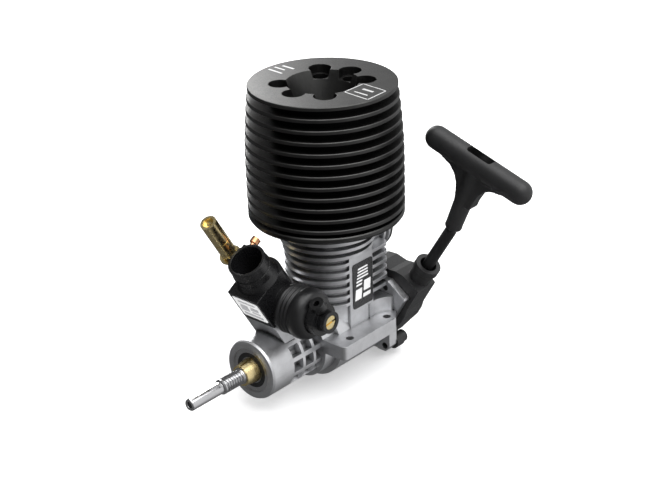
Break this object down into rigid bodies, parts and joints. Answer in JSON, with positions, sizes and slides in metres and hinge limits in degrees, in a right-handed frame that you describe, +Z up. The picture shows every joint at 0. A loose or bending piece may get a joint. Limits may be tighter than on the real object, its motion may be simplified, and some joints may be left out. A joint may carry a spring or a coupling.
{
  "type": "model glow engine",
  "caption": "Single-cylinder two-stroke glow engine with finned cooling head, slide carburettor, lug mounts, threaded output shaft and cord pull starter.",
  "frame": {"origin": "where the crank axis crosses the cylinder axis, level with the underside of the mounting lugs and central between their four holes", "axes": "+Z up the cylinder, -Y out along the drive shaft, +X the way the throttle opens"},
  "size_m": [0.1109, 0.1162, 0.126],
  "materials": {
    "cast_aluminium": "vapour-blasted cast aluminium, fine grain",
    "machined_aluminium": "fine turned aluminium",
    "black_anodised": "satin black anodised, fin edges catch the light",
    "steel": "ground steel",
    "dark_steel": "black oxide steel",
    "brass": "bright turned brass",
    "bronze": "sintered bronze",
    "copper": "copper",
    "black_composite": "moulded glass-filled nylon, satin",
    "black_rubber": "soft satin rubber",
    "reel_plastic": "natural acetal",
    "spring_steel": "blued spring steel",
    "black_cord": "braided nylon cord",
    "label_black": "printed black label with plain white bars",
    "label_white": "printed white label with plain grey bars",
    "ceramic": "insulator and plated post"
  },
  "bodies": {
    "engine": {"crankcase": "cast_aluminium", "case_label": "label_black", "exhaust_seal": "black_rubber", "front_bearing_outer": "steel", "front_bearing_seals": "black_rubber", "rear_bearing_outer": "steel", "cylinder_liner": "machined_aluminium", "head_gasket": "copper", "head_button": "machined_aluminium", "cooling_head": "black_anodised", "head_bolts": "dark_steel", "glow_plug_body": "steel", "glow_plug_core": "ceramic", "glow_plug_washer": "copper", "carb_body": "black_composite", "carb_label": "label_white", "carb_seal": "black_rubber", "carb_clamp_bolt": "dark_steel", "needle_housing": "brass", "fuel_nipple": "brass", "needle_seals": "black_rubber", "backplate": "cast_aluminium", "backplate_seal": "black_rubber", "starter_housing": "black_composite", "recoil_spring": "spring_steel", "starter_screws": "dark_steel"},
    "crank": {"crankshaft": "steel", "cone_collet": "brass", "front_bearing_inner": "steel", "rear_bearing_inner": "steel", "starter_shaft": "steel"},
    "front_cage": {"front_bearing_balls": "steel", "front_bearing_cage": "brass"},
    "rear_cage": {"rear_bearing_balls": "steel", "rear_bearing_cage": "brass"},
    "piston": {"piston": "machined_aluminium", "wrist_pin": "steel", "wrist_pin_clips": "steel"},
    "rod": {"connecting_rod": "machined_aluminium", "small_end_bush": "bronze", "big_end_bush": "bronze", "crankpin": "steel"},
    "throttle": {"throttle_slide": "steel", "throttle_end": "black_composite", "throttle_boot": "black_rubber"},
    "idle_screw": {"idle_mixture_screw": "brass"},
    "stop_screw": {"throttle_stop_screw": "copper"},
    "needle": {"needle_valve": "brass"},
    "reel": {"starter_reel": "reel_plastic", "one_way_bearing": "steel", "cord_coil": "black_cord"},
    "handle": {"pull_handle": "black_composite", "cord_guide": "black_rubber", "cord_knot": "reel_plastic", "cord_lead": "black_cord"}
  },
  "joints": [
    {"name": "crank_spin", "type": "hinge", "parent": "engine", "child": "crank", "pos_m": [0, 0, 0], "axis": [0, -1, 0], "continuous": true},
    {"name": "front_cage_spin", "type": "hinge", "parent": "engine", "child": "front_cage", "pos_m": [0, 0, 0], "axis": [0, -1, 0], "continuous": true},
    {"name": "rear_cage_spin", "type": "hinge", "parent": "engine", "child": "rear_cage", "pos_m": [0, 0, 0], "axis": [0, -1, 0], "continuous": true},
    {"name": "piston_stroke", "type": "slide", "parent": "engine", "child": "piston", "axis": [0, 0, -1], "range_m": [0, 0.016]},
    {"name": "rod_swing", "type": "hinge", "parent": "piston", "child": "rod", "pos_m": [0, 0, 0.04], "axis": [0, 1, 0], "range_deg": [-14.5, 14.5]},
    {"name": "throttle_slide_out", "type": "slide", "parent": "engine", "child": "throttle", "axis": [1, 0, 0], "range_m": [0, 0.008], "deforming": ["throttle_boot"]},
    {"name": "idle_mixture_turn", "type": "hinge", "parent": "throttle", "child": "idle_screw", "pos_m": [0.0286, -0.0333, 0.0255], "axis": [1, 0, 0], "range_deg": [-360, 720]},
    {"name": "stop_screw_turn", "type": "hinge", "parent": "engine", "child": "stop_screw", "pos_m": [-0.0087, -0.03836, 0.04556], "axis": [0, 0.8572, 0.515], "range_deg": [-360, 720]},
    {"name": "main_needle_turn", "type": "hinge", "parent": "engine", "child": "needle", "pos_m": [-0.0172, -0.04017, 0.0447], "axis": [0, -0.515, 0.8572], "range_deg": [-900, 900]},
    {"name": "cord_pull", "type": "slide", "parent": "engine", "child": "handle", "axis": [0.5225, 0, 0.8526], "range_m": [0, 0.3], "stiffness_N_per_m": 30, "springref_m": -0.15},
    {"name": "reel_spin", "type": "hinge", "parent": "engine", "child": "reel", "pos_m": [0, 0.0285, 0], "axis": [0, -1, 0], "range_deg": [0, 1470]}
  ],
  "couplings": [
    {"joint": "front_cage_spin", "follows": "crank_spin", "ratio": 0.3769},
    {"joint": "rear_cage_spin", "follows": "crank_spin", "ratio": 0.401},
    {"joint": "reel_spin", "follows": "cord_pull", "rad_per_m": 85.47}
  ]
}
